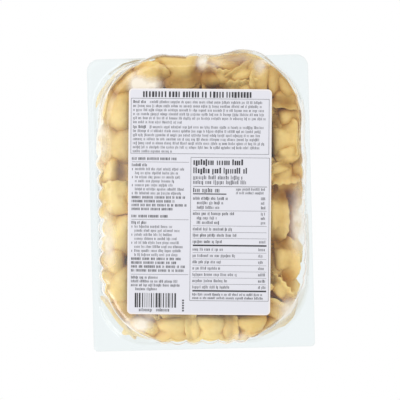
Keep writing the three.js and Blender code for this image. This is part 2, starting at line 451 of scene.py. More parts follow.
def clear_sheet(name, tint, edge_tint, gloss, roughness):
    """Clear plastic sheet: see-through, tinted at its edges, with a glossy face.

    Light on its way to the food passes straight through it. One of the mesh's attributes
    says where painted highlights and reflections pale its face and roughen it, and its
    shade attribute where painted shade dims what shows through it.
    """
    material, tree, output = new_material(name)
    painted_sheen = add_node(tree, "ShaderNodeAttribute", (-900, -200), attribute_name="painted_sheen")
    painted_sheen = painted_sheen.outputs["Fac"]
    shade = add_node(tree, "ShaderNodeAttribute", (-700, 900), attribute_name="shade")
    mottle = add_mottle(tree, (-900, -450), 110, 400)
    path = add_node(tree, "ShaderNodeLightPath", (-900, 500))
    passing = math_node(
        tree, "ADD", (-600, 500), path.outputs["Is Shadow Ray"], path.outputs["Is Diffuse Ray"]
    )
    through = add_node(tree, "ShaderNodeBsdfTransparent", (300, 150))
    weight = add_node(tree, "ShaderNodeLayerWeight", (-900, 200), {"Blend": 0.3})
    colour = mix_colour(tree, (-500, 300), weight.outputs["Facing"], tint, edge_tint)
    # Painted shade dims what shows through the sheet.
    colour = mix_colour(tree, (-300, 350), shade.outputs["Fac"], colour, PAINTED_SHADE_TINT)
    colour = mix_colour(tree, (-100, 300), passing, colour, (1, 1, 1, 1))
    tree.links.new(colour, through.inputs["Color"])
    # Painted highlights and reflections pale the face.
    sheen_colour = mix_colour(tree, (0, 450), painted_sheen, CLEAR_FACE, SHEEN_FACE)
    face = surface_node(tree, (200, 0), sheen_colour, {"Metallic": 1.0})
    matt = math_node(tree, "MULTIPLY", (-300, -250), painted_sheen, SHEEN_GAIN, clamp=True)
    matt = math_node(tree, "MULTIPLY", (-100, -250), matt, SHEEN_ROUGH - roughness)
    matt = math_node(tree, "ADD", (50, -250), matt, roughness)
    tree.links.new(matt, face.inputs["Roughness"])
    normal = bump_node(tree, (-300, -450), 0.2, 0.0005, mottle.outputs["Blotches"])
    tree.links.new(normal, face.inputs["Normal"])
    fresnel = add_node(tree, "ShaderNodeFresnel", (-900, 0), {"IOR": 1.45})
    shine = math_node(tree, "MULTIPLY", (-600, 0), fresnel.outputs[0], gloss, clamp=True)
    sheen_cover = math_node(tree, "MULTIPLY", (-750, -300), mottle.outputs["Blotches"], SHEEN_GAIN)
    sheen_cover = math_node(tree, "MULTIPLY", (-600, -200), painted_sheen, sheen_cover)
    cover = math_node(tree, "ADD", (-300, -60), shine, sheen_cover, clamp=True)
    facing = add_node(tree, "ShaderNodeNewGeometry", (-900, 750))
    unseen = math_node(tree, "ADD", (-450, 600), passing, facing.outputs["Backfacing"])
    stopped = math_node(tree, "SUBTRACT", (-300, 500), 1.0, unseen, clamp=True)
    cover = math_node(tree, "MULTIPLY", (0, -60), cover, stopped)
    mix = add_node(tree, "ShaderNodeMixShader", (600, 0))
    tree.links.new(cover, mix.inputs[0])
    tree.links.new(through.outputs[0], mix.inputs[1])
    tree.links.new(face.outputs[0], mix.inputs[2])
    tree.links.new(mix.outputs[0], output.inputs["Surface"])
    return material


BLOTCHED = 0.24  # how far dough's blotches go from its pale colour to its deep one
DOUGH = {
    "Roughness": 0.48,
    "IOR": 1.42,
    "Subsurface Weight": 0.15,
    "Subsurface Radius": (1.0, 0.7, 0.3),
    "Subsurface Scale": 0.0025,
}


def dough(name, pale, deep, grain):
    """Fresh egg dough: pale yellow, softly mottled, a little see-through and moist.

    The mesh's tone attribute, which carries painted shade and painted light besides the dough's
    own tone, moves its colour from pale to deep.
    """
    material, tree, output = new_material(name)
    mottle = add_mottle(tree, (-900, 0), 140, grain)
    tone_shade_and_light = add_node(tree, "ShaderNodeAttribute", (-900, 250), attribute_name="tone_shade_and_light")
    blotch = add_node(tree, "ShaderNodeMapRange", (-650, 0), {"From Min": 0.3, "From Max": 0.7})
    tree.links.new(mottle.outputs["Blotches"], blotch.inputs["Value"])
    share = math_node(tree, "MULTIPLY", (-450, 0), blotch.outputs[0], BLOTCHED)
    share = math_node(tree, "ADD", (-300, 100), share, tone_shade_and_light.outputs["Fac"], clamp=True)
    colour = mix_colour(tree, (-100, 150), share, pale, deep)
    skin = surface_node(tree, (400, 0), colour, DOUGH)
    lumps = bump_node(tree, (-100, -250), 0.5, 0.002, mottle.outputs["Blotches"])
    grainy = bump_node(tree, (100, -250), 0.35, 0.0004, mottle.outputs["Grain"], lumps)
    tree.links.new(grainy, skin.inputs["Normal"])
    tree.links.new(skin.outputs[0], output.inputs["Surface"])
    return material


def paper(name, colour, shade):
    """Smooth label paper with a faint uneven tone."""
    material, tree, output = new_material(name)
    mottle = add_mottle(tree, (-700, 0), 30, 700)
    tint = mix_colour(tree, (-350, 100), mottle.outputs["Blotches"], colour, shade)
    face = surface_node(tree, (200, 0), tint, {"Roughness": 0.42, "IOR": 1.45})
    normal = bump_node(tree, (-100, -250), 0.1, 0.0002, mottle.outputs["Grain"])
    tree.links.new(normal, face.inputs["Normal"])
    tree.links.new(face.outputs[0], output.inputs["Surface"])
    return material


def ink(name, colour, faded):
    """Printing ink, a little uneven where it is thin."""
    material, tree, output = new_material(name)
    mottle = add_mottle(tree, (-700, 0), 500, 2500)
    tint = mix_colour(tree, (-350, 100), mottle.outputs["Blotches"], colour, faded)
    face = surface_node(tree, (200, 0), tint, {"Roughness": 0.55, "IOR": 1.45})
    tree.links.new(face.outputs[0], output.inputs["Surface"])
    return material


# ---- Geometry Nodes ------------------------------------------------------------------


def copies_tree():
    """A node tree that puts a copy of one of some shapes on each point.

    Each point carries its copy's turn, size and kind as attributes.
    """
    if "Copies on points" in bpy.data.node_groups:
        return bpy.data.node_groups["Copies on points"]
    tree = bpy.data.node_groups.new("Copies on points", "GeometryNodeTree")
    add_socket(tree, "Points", "Geometry")
    add_socket(tree, "Shapes", "Collection")
    add_socket(tree, "Finish", "Material")
    add_socket(tree, "Size", "Float", 1)
    add_socket(tree, "Geometry", "Geometry", in_out="OUTPUT")
    inputs = add_node(tree, "NodeGroupInput", (-900, 0))
    outputs = add_node(tree, "NodeGroupOutput", (900, 0))
    shapes = add_node(tree, "GeometryNodeCollectionInfo", (-600, -150))
    shapes.inputs["Separate Children"].default_value = True
    shapes.inputs["Reset Children"].default_value = True

    def named(attribute, kind, place):
        node = add_node(tree, "GeometryNodeInputNamedAttribute", place, data_type=kind)
        node.inputs["Name"].default_value = attribute
        return node.outputs["Attribute"]

    turn = add_node(tree, "FunctionNodeEulerToRotation", (-350, -350))
    tree.links.new(named("turn", "FLOAT_VECTOR", (-600, -350)), turn.inputs[0])
    scale = add_node(tree, "ShaderNodeVectorMath", (-350, -550), operation="SCALE")
    tree.links.new(named("size", "FLOAT_VECTOR", (-600, -550)), scale.inputs[0])
    tree.links.new(inputs.outputs["Size"], scale.inputs["Scale"])
    place = add_node(tree, "GeometryNodeInstanceOnPoints", (0, 0))
    place.inputs["Pick Instance"].default_value = True
    tree.links.new(inputs.outputs["Points"], place.inputs["Points"])
    tree.links.new(inputs.outputs["Shapes"], shapes.inputs["Collection"])
    tree.links.new(shapes.outputs["Instances"], place.inputs["Instance"])
    tree.links.new(named("kind", "INT", (-600, -750)), place.inputs["Instance Index"])
    tree.links.new(turn.outputs[0], place.inputs["Rotation"])
    tree.links.new(scale.outputs[0], place.inputs["Scale"])
    real = add_node(tree, "GeometryNodeRealizeInstances", (300, 0))
    finish = add_node(tree, "GeometryNodeSetMaterial", (600, 0))
    tree.links.new(place.outputs[0], real.inputs[0])
    tree.links.new(real.outputs[0], finish.inputs[0])
    tree.links.new(inputs.outputs["Finish"], finish.inputs["Material"])
    tree.links.new(finish.outputs[0], outputs.inputs[0])
    return tree


def copies(name, shapes, places, turns, sizes, kinds, material):
    """One plain mesh object of copies of the shapes, made by the node tree.

    Shapes are objects in millimetres times MM; they are removed afterwards.
    """
    folder = bpy.data.collections.new(name + "_shapes")
    for shape in shapes:
        for user in list(shape.users_collection):
            user.objects.unlink(shape)
        folder.objects.link(shape)
    cloud = make_object(name + "_points", places, [])
    layers = (("turn", "FLOAT_VECTOR", turns), ("size", "FLOAT_VECTOR", sizes))
    for key, kind, values in layers:
        layer = cloud.data.attributes.new(key, kind, "POINT")
        layer.data.foreach_set("vector", np.asarray(values, np.float32).ravel())
    layer = cloud.data.attributes.new("kind", "INT", "POINT")
    layer.data.foreach_set("value", np.asarray(kinds, np.int32))
    modifier = cloud.modifiers.new("copies", "NODES")
    modifier.node_group = copies_tree()
    sockets = {s.name: s.identifier for s in modifier.node_group.interface.items_tree}
    modifier[sockets["Shapes"]] = folder
    modifier[sockets["Finish"]] = material
    modifier[sockets["Size"]] = 1.0
    graph = bpy.context.evaluated_depsgraph_get()
    mesh = bpy.data.meshes.new_from_object(cloud.evaluated_get(graph))
    mesh.name = name
    piece = bpy.data.objects.new(name, mesh)
    bpy.context.scene.collection.objects.link(piece)
    for unused in [cloud, *shapes]:
        bpy.data.objects.remove(unused)
    bpy.data.collections.remove(folder)
    if not len(mesh.polygons):
        raise RuntimeError(name + " came out empty")
    return piece


def keep(piece, slot, *nodes):
    """Rides a finished piece on the pack and hides the parts that it stands in for; its slot is
    not used.
    """
    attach(piece, ROOT)
    for node in nodes:
        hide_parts(node)


# ---- The tray's clear shell ----------------------------------------------------------


# Spots on the sheet, by middle in plan, reach and strength: pale patches that are painted
# reflections of the lights, and patches of painted shade over hollows in the pasta below.
REFLECTION_SPOTS = (
    ((-41, 81), (4.5, 5), 1.5),
    ((-34, 80), (6, 3.6), 1.5),
    ((-27, 78.5), (5, 2.3), 1.2),
    ((3, 95), (3, 4), 1.2),
    ((12, 94), (4, 4), 0.5),
    ((42, 91), (3.5, 4), 0.9),
    ((-46, -81), (6, 4), 0.8),
    ((24, -91), (5, 2.5), 0.6),
    ((-40, -80), (5, 4), 0.7),
    ((59, -75), (7, 7), 1.2),
    ((17, -95), (7, 2), 0.5),
    ((-63, -24), (4, 18), 0.35),
    ((-70, 42), (4, 14), 0.9),
    ((65.5, -14), (4.5, 17), 1.1),
    ((27, 97), (15, 4), 0.25),
    ((-70, -60), (2.5, 14), 0.5),
    ((-66, 43), (4, 12), 0.4),
    ((-64, -25), (4, 11), 0.45),
)
SHADE_SPOTS = (
    ((56, 88), (11, 9), 0.35),
    ((27, 95), (10, 6), 0.45),
    ((-9, 79), (14, 4.5), 0.8),
    ((-2, 86), (3, 6), 0.5),
    ((7, 86.5), (4.5, 4.5), 0.9),
    ((-25, 86), (2.5, 8), 0.4),
    ((57, 2), (8, 5), 0.7),
    ((59, 25.5), (8, 2), 0.5),
    ((58, 65), (7, 6), 0.7),
    ((-67, 1), (4, 6), 0.35),
    ((-53, 25), (4, 6), 0.4),
    ((57.5, 5), (5, 4.5), 0.65),
    ((55, -11), (5, 8), 0.25),
    ((-51, 84), (5, 4), 0.25),
    ((-54, 21), (5, 9), 0.45),
    ((-54, -40), (4, 6), 0.3),
    ((-56, -74), (7, 7), 0.4),
    ((56, -31), (6, 1.8), 0.4),
    ((62, -66), (4, 3), 0.3),
)

# Lines along the sheet's folds and edges, each a run of places in plan, its strength and
# its width: those above 0 carry a painted highlight, and those below 0 painted shade.
FOLD_LINES = (
    (((44, 95), (52.5, 91.5), (59.5, 86), (64, 78.5), (68, 71.5), (70.5, 64)), 0.8, 0.9),
    (((46, 97.5), (56, 91), (62, 84)), -0.5, 0.8),
    (((62, 84), (65.5, 79)), -0.9, 0.8),
    (((70.5, 64), (71.5, 50), (71, 38)), 0.7, 0.9),
    (((73, 70), (74.5, 56), (73, 44), (74.5, 30), (73.5, 12)), 0.7, 1.4),
    (((70, 33), (72.5, 24), (70.5, 14), (72, 4), (70, -8)), 0.6, 1.1),
    (((71, -22), (72, -34), (70.5, -48), (69, -60)), 0.5, 1.2),
    (((74.5, -10), (75, -30), (74, -52)), -0.25, 1.0),
    (((-56.7, 88), (-61.7, 74.7), (-64.6, 66), (-65.4, 59.2), (-64.5, 55.8)), 0.8, 0.8),
    (((-64.5, 55.8), (-67.6, 53.8), (-69.8, 47.8), (-71.3, 37.7)), 0.8, 0.8),
    (((-60, 90), (-66, 76), (-70, 62)), 0.4, 0.7),
    (((-62, 92), (-52, 99), (-38, 102.5)), -0.9, 0.9),
    (((-57, 90), (-47, 96.5), (-34, 100)), 0.45, 0.8),
    (((-36, 98), (-22, 100), (-8, 98.5)), -0.9, 1.0),
    (((8, 99), (20, 101.5), (34, 101)), -0.6, 0.8),
    (((14, 96.5), (24, 98.5), (36, 97)), -0.35, 0.8),
)


def fold_highlights_and_shade(plan):
    """The lines' painted highlights and painted shade: how pale and how dark they make each place.
    """
    pale, dark = np.zeros(len(plan)), np.zeros(len(plan))
    for places, strength, width in FOLD_LINES:
        for start, end in zip(places[:-1], places[1:]):
            _, gap = along_line(plan, start, end)
            mark = abs(strength) * np.maximum(0, 1 - gap / width)
            kind = pale if strength > 0 else dark
            np.maximum(kind, mark, out=kind)
    return pale, dark


SPOTS_LOW, SPOTS_HIGH = 12, 22  # heights between which the spots fade in up the wall


def spot_marks(points, spots):
    """Each spot's mark on the sheet, in turn."""
    for (x, y), (reach_x, reach_y), strength in spots:
        spot = ((points[:, 0] - x) / reach_x) ** 2 + ((points[:, 1] - y) / reach_y) ** 2
        yield strength * np.exp(-spot) * smooth(SPOTS_LOW, SPOTS_HIGH, points[:, 2])


def shell_rows():
    """The tray's rings from the flange's edge to the panel."""
    points, normals = SHOULDER_POINTS, SHOULDER_NORMALS
    swells = swell_push(points)
    folds = crease_push(points)
    lobes = flute_lobes(points, normals) + swells + folds
    flange_points, _ = ring(FLANGE)
    foot = points + normals * (FOOT_REACH + FOOT_ROUND)[:, None]
    rows = []
    for share in (0, 0.04, 0.3, 0.65, 0.95):
        rows.append((flange_points * (1 - share) + foot * share, FLANGE_TOP))
    for angle in np.radians((0, 30, 60, 90)):
        out = FOOT_REACH + FOOT_ROUND * (1 - math.sin(angle))
        z = FLANGE_TOP + FOOT_ROUND * (1 - math.cos(angle))
        rows.append((points + normals * out[:, None], z))
    wall_low = FLANGE_TOP + FOOT_ROUND
    for share in np.linspace(0, 1, 15)[1:]:
        z = wall_low + share * (SHOULDER_LOW - wall_low)
        out = FOOT_REACH * (1 - rise_at(z)) + lobes * smooth(0, 0.85, share)
        out += BEAD * np.exp(-(((z - BEAD_AT) / 1.2) ** 2))
        rows.append((points + normals * out[:, None], z))
    for angle in np.radians(np.linspace(0, 90, 15)[1:]):
        z = SHOULDER_LOW + (PANEL - SHOULDER_LOW) * math.sin(angle)
        out = lobes * math.cos(angle) ** 1.2 - SHOULDER_ROUND * (1 - math.cos(angle))
        rows.append((points + normals * out[:, None], z - 0.5 * folds * math.sin(angle)))
    rim = rows[-1][0]
    middle = rim.mean(0)
    for share in (0.96, 0.9, 0.8, 0.6, 0.3):
        rows.append((middle + (rim - middle) * share, PANEL))
    return rows, middle


def shell_mesh():
    """The clear shell's outer face: points in millimetres, faces, painted highlights and painted
    shade.
    """
    rows, middle = shell_rows()
    count = len(SHOULDER_POINTS)
    points = [np.column_stack([plan, np.zeros(count) + z]) for plan, z in rows]
    points = np.concatenate(points + [np.array([[*middle, PANEL]])])
    points[:, 2] = np.minimum(points[:, 2], PANEL)
    normals = np.concatenate([np.tile(SHOULDER_NORMALS, (len(rows), 1)), [[0, 0]]])
    height = points[:, 2]
    bright = normals @ BRIGHT_SIDE
    edge = np.exp(-(((height - EDGE_AT) / EDGE_WIDE) ** 2))
    pale, dark = fold_highlights_and_shade(points[:, :2])
    # Painted highlights on the shoulder's edge and the folds, painted shine on the bright side,
    # and the spots' painted reflections.
    painted_sheen = EDGE_HIGHLIGHT * edge * smooth(0.1, 0.6, bright) + FOLD_HIGHLIGHT * pale
    painted_sheen += EDGE_HIGHLIGHT_RIGHT * edge * smooth(0.7, 0.95, normals[:, 0])
    painted_sheen += PAINTED_SHINE * smooth(24, 30, height) * smooth(0.2, 0.8, bright)
    # Painted shade along the top edge, on the dark folds, on the right wall and over the hollows.
    shade = EDGE_SHADE * edge * smooth(0.5, 0.9, normals @ DARK_SIDE) + dark
    # Painted shade on the steep right wall, away from the lights.
    wall = smooth(3, 8, height) * smooth(30, 26, height)
    shade += WALL_SHADE * wall * smooth(0.6, 0.9, normals[:, 0])
    for mark in spot_marks(points, REFLECTION_SPOTS):
        painted_sheen += mark
    for mark in spot_marks(points, SHADE_SPOTS):
        shade += mark
    faces = loft_faces(len(rows), count, last=len(points) - 1)
    return points, faces, painted_sheen, shade


class TraySettings(bpy.types.PropertyGroup):
    """Sizes and colours of the clear tray and its lid film."""

    thickness: FloatProperty(
        name="Sheet thickness",
        description="Thickness of the clear sheet that the tray is formed from",
        default=SHEET * MM,
        unit="LENGTH",
    )
    tint: FloatVectorProperty(
        name="Clear tint",
        description="Colour of the clear sheet seen straight through",
        default=(0.985, 0.99, 0.99),
        subtype="COLOR",
    )
    edge_tint: FloatVectorProperty(
        name="Edge tint",
        description="Colour of the clear sheet seen along its face",
        default=(0.93, 0.935, 0.92),
        subtype="COLOR",
    )
    film_tint: FloatVectorProperty(
        name="Film tint",
        description="Colour of the lid film seen straight through",
        default=(0.95, 0.975, 0.98),
        subtype="COLOR",
    )


class AddTray(bpy.types.Operator):
    """Add the clear fluted shell with its flange"""

    bl_idname = "tortellini.add_tray"
    bl_label = "Add Tray"

    def execute(self, context):
        settings = context.scene.tortellini_tray
        points, faces, painted_sheen, shade = shell_mesh()
        tints = (*settings.tint, 1), (*settings.edge_tint, 1)
        material = clear_sheet("clear_tray", *tints, gloss=1.8, roughness=0.09)
        tray = make_object("tray_shell", points, faces, material, {"painted_sheen": painted_sheen, "shade": shade})
        wall = tray.modifiers.new("sheet", "SOLIDIFY")
        wall.thickness = settings.thickness
        wall.offset = -1
        keep(tray, "tray", "tray")
        return {"FINISHED"}


class AddLidFilm(bpy.types.Operator):
    """Add the thin film that seals the tray from below"""

    bl_idname = "tortellini.add_lid_film"
    bl_label = "Add Lid Film"

    def execute(self, context):
        settings = context.scene.tortellini_tray
        edge, _ = ring(FLANGE)
        rows = []
        for z, shares in ((0.0, (0.5, 0.97, 1.0)), (FILM_HIGH[2], (1.0, 0.97, 0.5))):
            for share in shares:
                rows.append(np.column_stack([edge * share, np.full(len(edge), z)]))
        points, faces = closed_loft(rows, (0, 0, 0), (0, 0, FILM_HIGH[2]))
        tints = (*settings.film_tint, 1), (*settings.edge_tint, 1)
        material = clear_sheet("clear_film", *tints, gloss=0.8, roughness=0.12)
        film = make_object("lid_film_sheet", points, faces, material)
        keep(film, "lid_film", "lid_film")
        return {"FINISHED"}


# ---- The pasta -----------------------------------------------------------------------


def stuffing(v, q, fill):
    """How full the fold is, and how far across it and how high the filling bulges.

    v runs along the fold from -1 to 1, and q from the fold at 0 to the rim at 1.
    """
    filling = 0.08 + 0.92 * np.clip(1 - (np.abs(v) / fill) ** 2.8, 0, 1) ** 0.65
    narrow = np.sqrt(np.clip(1 - 0.7 * (np.abs(v) / fill) ** 3, 0.12, 1))
    pillow = (0.6 + 0.04 * np.sin(5 * v)) * narrow
    across = np.clip(q / pillow, 0, 1)
    swell = (1 - np.abs(2 * across**0.85 - 1) ** 2.3) ** 0.7
    return filling, across, swell


def ruffles(rng, v, q, ruffle, end):
    """How far the rim's ruffles move each place sideways, and towards the rim."""
    waves = rng.uniform(7, 10)
    phase = rng.uniform(0, 6)
    wave = np.pi * waves * v + phase + 0.9 * np.sin(3 * v + phase)
    frill = ruffle * smooth(0.6, 1.0, q) * end * (0.75 + 0.25 * np.sin(4 * v + phase))
    return 0.8 * frill * np.sin(wave), 0.7 * frill * np.cos(wave)


def wrapped(t, h, v, q, length, wrap, flare):
    """Places of a flat half-moon, t thick and h tall, once it is wrapped round +Z."""
    turn = np.radians(wrap) * v
    radius = length / 2 / np.radians(wrap)
    lean = np.radians(flare) * smooth(0, 1.1, q) * 1.3
    overlap = smooth(0.75, 1, np.abs(v)) * np.sign(v) * (1.3 if wrap > 130 else 0)
    reach = radius + t * np.cos(lean) + h * np.sin(lean) + overlap
    return reach * np.sin(turn), reach * np.cos(turn), h * np.cos(lean) - t * np.sin(lean)


DOUGH_HALF = 1.1  # how far the rim's outer face stands off the middle of its two layers
INNER_SHARE = 0.62  # how far the inner face stands off it, as a share of the outer one
FOLD_DROP = 0.42  # how far the fold lies below the origin, as a share of the height


def tortellino(
    seed,
    height=21,
    length=42,
    wrap=150,
    flare=20,
    belly=4.8,
    fill=0.58,
    ruffle=1.0,
    along=40,
    around=20,
):
    """One tortellino: points in millimetres, faces, and how stuffed it is at each point.

    A disc of dough folded over its filling is a half-moon with a round belly along the
    fold and a thin ruffled rim. It is wrapped round +Z by plus and minus wrap degrees,
    with the belly low, the rim flaring out above it, and its middle facing +Y. Fill is
    the share of its length that the filling takes up.
    """
    rng = np.random.default_rng(seed)
    v = np.linspace(-1, 1, along + 1)[1:-1][:, None]
    angle = np.arange(around)[None, :] / around * 2 * np.pi
    q = (1 - np.cos(angle)) / 2
    end = np.sqrt(np.maximum(0, 1 - np.clip((np.abs(v) - 0.9) / 0.1, 0, 1) ** 2)) + 0.02
    tall = height * (0.15 + 0.85 * (1 - v**2) ** 0.55) * end
    rim = DOUGH_HALF * np.sqrt(np.clip(q / 0.03, 0, 1)) * np.sqrt(np.maximum(0, 1 - q**10))
    filling, across, swell = stuffing(v, q, fill)
    lump = 1 + 0.12 * np.sin(v * rng.uniform(4, 7) + rng.uniform(0, 6))
    half = (rim + belly * filling * swell * lump) * end
    aside, up = ruffles(rng, v, q, ruffle, end)
    t = np.where(np.sin(angle) >= 0, half, -INNER_SHARE * half) + aside
    axes = wrapped(t, tall * q + up, v, q, length, wrap, flare)
    x, y, z = (np.broadcast_to(axis, (along - 1, around)).copy() for axis in axes)
    for axis in (x, y, z):
        wobble = rng.uniform(-0.16, 0.16, 3)
        axis += 0.8 * np.sin(wobble[0] * x + wobble[1] * y + wobble[2] * z + rng.uniform(0, 6))
    body = np.stack([x, y, z], -1)
    points, faces = closed_loft(body, body[0].mean(0), body[-1].mean(0))
    points[:, 2] -= height * FOLD_DROP
    stuffed = np.append((filling * smooth(0.62, 0.45, across * 0.6)).ravel(), (0, 0))
    return points, [face[::-1] for face in faces], stuffed


def heading_matrix(heading, tilt, roll):
    """Turns a tortellino, by angles in degrees.

    They are its rim's heading in plan, how far the rim is raised, and how far its middle
    is rolled away from facing up.
    """
    heading, tilt, roll = np.radians((heading, tilt, roll))
    ahead = np.array([math.cos(heading), math.sin(heading), 0])
    rim = ahead * math.cos(tilt) + (0, 0, math.sin(tilt))
    up = -ahead * math.sin(tilt) + (0, 0, math.cos(tilt))
    side = np.cross(up, rim)
    middle = up * math.cos(roll) + side * math.sin(roll)
    return np.column_stack([np.cross(middle, rim), middle, rim])


# The pieces that lie against the shell, round the label. Each has its middle in plan and
# the height of its top, then its rim's heading, the rim's rise and its roll in degrees,
# how far it wraps round, its height from fold to rim, its length along the fold, the
# share of it that is filled, and how ruffled its rim is.
SHOWN = (
    # Top side, from the left.
    (-51, 84, 32.0, 140, 0, 10, 100, 20, 42, 0.62, 0.4),
    (-32, 87, 34.2, 55, 5, -15, 75, 18, 32, 0.66, 0.4),
    (-12.5, 91, 34.6, -84, -14, 0, 50, 28, 33, 0.74, 0.2),
    (-17, 80, 29.0, 180, 0, 90, 60, 9, 24, 0.6, 0.6),
    (-3, 80, 23.5, -60, 10, 0, 110, 19, 40, 0.5, 0.6),
    (9, 86, 30.5, 88, 0, 0, 75, 16, 28, 0.62, 0.5),
    (22, 97, 31.5, 70, 0, 20, 100, 18, 40, 0.6, 0.5),
    (40, 96, 31.5, 20, 5, 0, 100, 19, 42, 0.6, 0.5),
    (18, 86, 34.0, 85, 35, 0, 100, 13, 26, 0.5, 0.7),
    (31, 87, 34.6, 118, 8, 0, 60, 14, 32, 0.6, 0.5),
    (26, 75, 33.2, 92, 10, 0, 85, 18, 34, 0.45, 1.1),
    (37, 78, 32.6, 60, 15, 10, 110, 16, 34, 0.5, 0.7),
    (43, 82, 33.0, 170, 0, 0, 60, 14, 30, 0.7, 0.3),
    # Right side, from the top.
    (52, 83, 32.4, 10, 0, 0, 60, 14, 32, 0.75, 0.3),
    (61, 76, 32.0, 20, 0, 0, 60, 13, 28, 0.75, 0.3),
    (58, 68, 33.8, -94, 14, 0, 90, 17, 40, 0.4, 1.1),
    (63, 57, 31.5, 5, 0, 0, 56, 18, 26, 0.4, 1.4),
    (59.4, 41, 35.0, -2, 0, 0, 34, 21, 38, 0.46, 0.35),
    (60, 31.5, 34.7, -82, 0, 0, 45, 12, 21, 0.75, 0.2),
    (53, 22, 34.2, 100, 0, 0, 45, 8, 20, 0.75, 0.0),
    (56, 17, 33.6, -86, 8, 0, 80, 15, 30, 0.45, 1.0),
    (66.5, 25, 30.0, 10, 20, 0, 60, 12, 34, 0.5, 0.7),
    (61, 2, 20.0, 0, 5, 0, 95, 15, 34, 0.6, 0.5),
    (52, -9, 34.6, 2, 8, 0, 52, 16, 42, 0.5, 0.6),
    (57, -16, 25.0, 0, 5, 0, 95, 16, 36, 0.6, 0.5),
    (57.5, -39, 34.2, 4, 0, 0, 44, 19, 29, 0.45, 0.25),
    (51, -30, 24.0, 0, 5, 0, 95, 16, 30, 0.6, 0.5),
    (53, -60, 34.4, 38, 16, 0, 42, 13, 28, 0.35, 1.2),
    (50, -75, 32.0, 60, 0, 0, 90, 16, 34, 0.6, 0.5),
    # Bottom side, from the right.
    (48, -84, 27.0, -50, 0, 0, 100, 16, 36, 0.6, 0.5),
    (32, -86, 33.5, -88, 0, 0, 70, 19, 32, 0.74, 0.4),
    (18, -85, 32.4, 0, 10, 0, 60, 13, 30, 0.7, 0.5),
    (4, -86, 34.0, -95, 0, 0, 70, 20, 32, 0.74, 0.4),
    (-8, -86, 32.4, 180, 10, 0, 60, 11, 30, 0.6, 0.5),
    (-21, -86, 34.2, -88, 0, 0, 64, 21, 33, 0.76, 0.3),
    (-41, -85, 33.0, -110, 0, 0, 85, 19, 38, 0.66, 0.4),
    (-57, -73, 31.5, 215, 5, 0, 95, 19, 40, 0.62, 0.5),
    (-61, -79, 22.0, 222, 0, 0, 90, 22, 46, 0.7, 0.4),
    (-41, -93, 20.0, 258, 0, 0, 90, 18, 44, 0.7, 0.4),
    # Left side, from the bottom.
    (-60, -54, 33.5, 178, 5, 0, 80, 20, 38, 0.62, 0.4),
    (-62, -39, 33.0, 178, 0, 0, 70, 19, 36, 0.6, 0.4),
    (-57.5, -20, 34.2, 172, 0, 0, 60, 24, 40, 0.74, 0.3),
    (-57.5, 4, 34.6, 98, 4, 0, 40, 25, 38, 0.45, 0.9),
    (-63, 24, 33.0, 174, 0, 0, 75, 18, 32, 0.6, 0.4),
    (-56, 42, 34.4, 180, 0, 0, 66, 26, 40, 0.75, 0.3),
    (-56.5, 64, 34.2, 174, 0, 0, 70, 26, 42, 0.75, 0.3),
    (-66, 64, 24.0, 172, -10, 0, 70, 22, 42, 0.8, 0.1),
    (-60, 82, 26.0, 138, -10, 0, 80, 24, 46, 0.8, 0.1),
    # Low on the wall at the corners, and beside the label.
    (-64, 86, 15.0, 136, 0, 0, 60, 16, 50, 0.85, 0.0),
    (-70, 64, 15.0, 176, 0, 0, 60, 14, 40, 0.85, 0.0),
    (46, -92, 15.0, -60, 0, 0, 60, 16, 46, 0.85, 0.0),
    (72, 46, 16.0, 0, 0, 0, 60, 14, 44, 0.85, 0.3),
    (49, 6, 26.0, 30, 0, 0, 90, 14, 30, 0.6, 0.5),
    (50, 62, 28.0, -40, 0, 0, 90, 14, 30, 0.6, 0.5),
)


# How much deeper the dough's colour is over the filling, and how much painted shade it
# gets where pieces touch, on the flanks of a piece, and deep in the heap.
STUFFED_TONE, CONTACT_SHADE, FLANK_SHADE, DEPTH_SHADE = 0.08, 0.3, 0.06, 0.85
# How far, on the tray's bright side, the painted shade between pieces fades and painted light
# turns the dough paler.
SHADE_LOST, PAINTED_LIGHT = 0.85, 0.17


def contact_shade(points, owner, reach=3.0):
    """Painted shade by how close each point lies to another piece: 1 where they touch, 0 beyond
    reach.
    """
    tree = KDTree(len(points))
    for index, point in enumerate(points.tolist()):
        tree.insert(point, index)
    tree.balance()
    near = np.full(len(points), reach)
    for index, point in enumerate(points.tolist()):
        for _, other, gap in tree.find_range(point, reach):
            if owner[other] != owner[index] and gap < near[index]:
                near[index] = gap
    return 1 - near / reach


def bright_share(points):
    """How far each point lies towards the tray's bright side, from 0 to 1."""
    return smooth(0.1, 0.6, points[:, :2] / SHOULDER["half"] @ BRIGHT_SIDE)


def shown_pasta(pieces, along, around):
    """Points, faces and tone, with painted shade and light, of a row of placed tortellini, pressed
    into the tray.
    """
    rng = np.random.default_rng(7)
    points, faces, tones, owner, count = [], [], [], [], 0
    for number, placed in enumerate(pieces):
        x, y, top, heading, tilt, roll, wrap, height, length, fill, ruffle = placed
        body, body_faces, stuffed = tortellino(
            number + 11,
            height=height,
            length=length,
            wrap=wrap,
            flare=rng.uniform(10, 24),
            belly=rng.uniform(4.6, 5.8) * min(1, height / 18),
            fill=fill,
            ruffle=ruffle,
            along=along,
            around=around,
        )
        body = body @ heading_matrix(heading, tilt, roll).T
        low, high = body.min(0), body.max(0)
        body += (x - (low[0] + high[0]) / 2, y - (low[1] + high[1]) / 2, top - high[2])
        points.append(body)
        faces += [[i + count for i in face] for face in body_faces]
        tones.append(rng.uniform(-0.05, 0.1) + STUFFED_TONE * stuffed)
        owner += [number] * len(body)
        count += len(body)
    points = press_inside(np.concatenate(points), UPPER_GAP)
    bright = bright_share(points)
    # Painted shade where pieces touch, fading on the bright side, where painted light makes the
    # dough paler.
    seam_shade = contact_shade(points, owner) * (1 - SHADE_LOST * bright)
    tone_shade_and_light = np.concatenate(tones) + CONTACT_SHADE * seam_shade - PAINTED_LIGHT * bright
    return points, faces, tone_shade_and_light


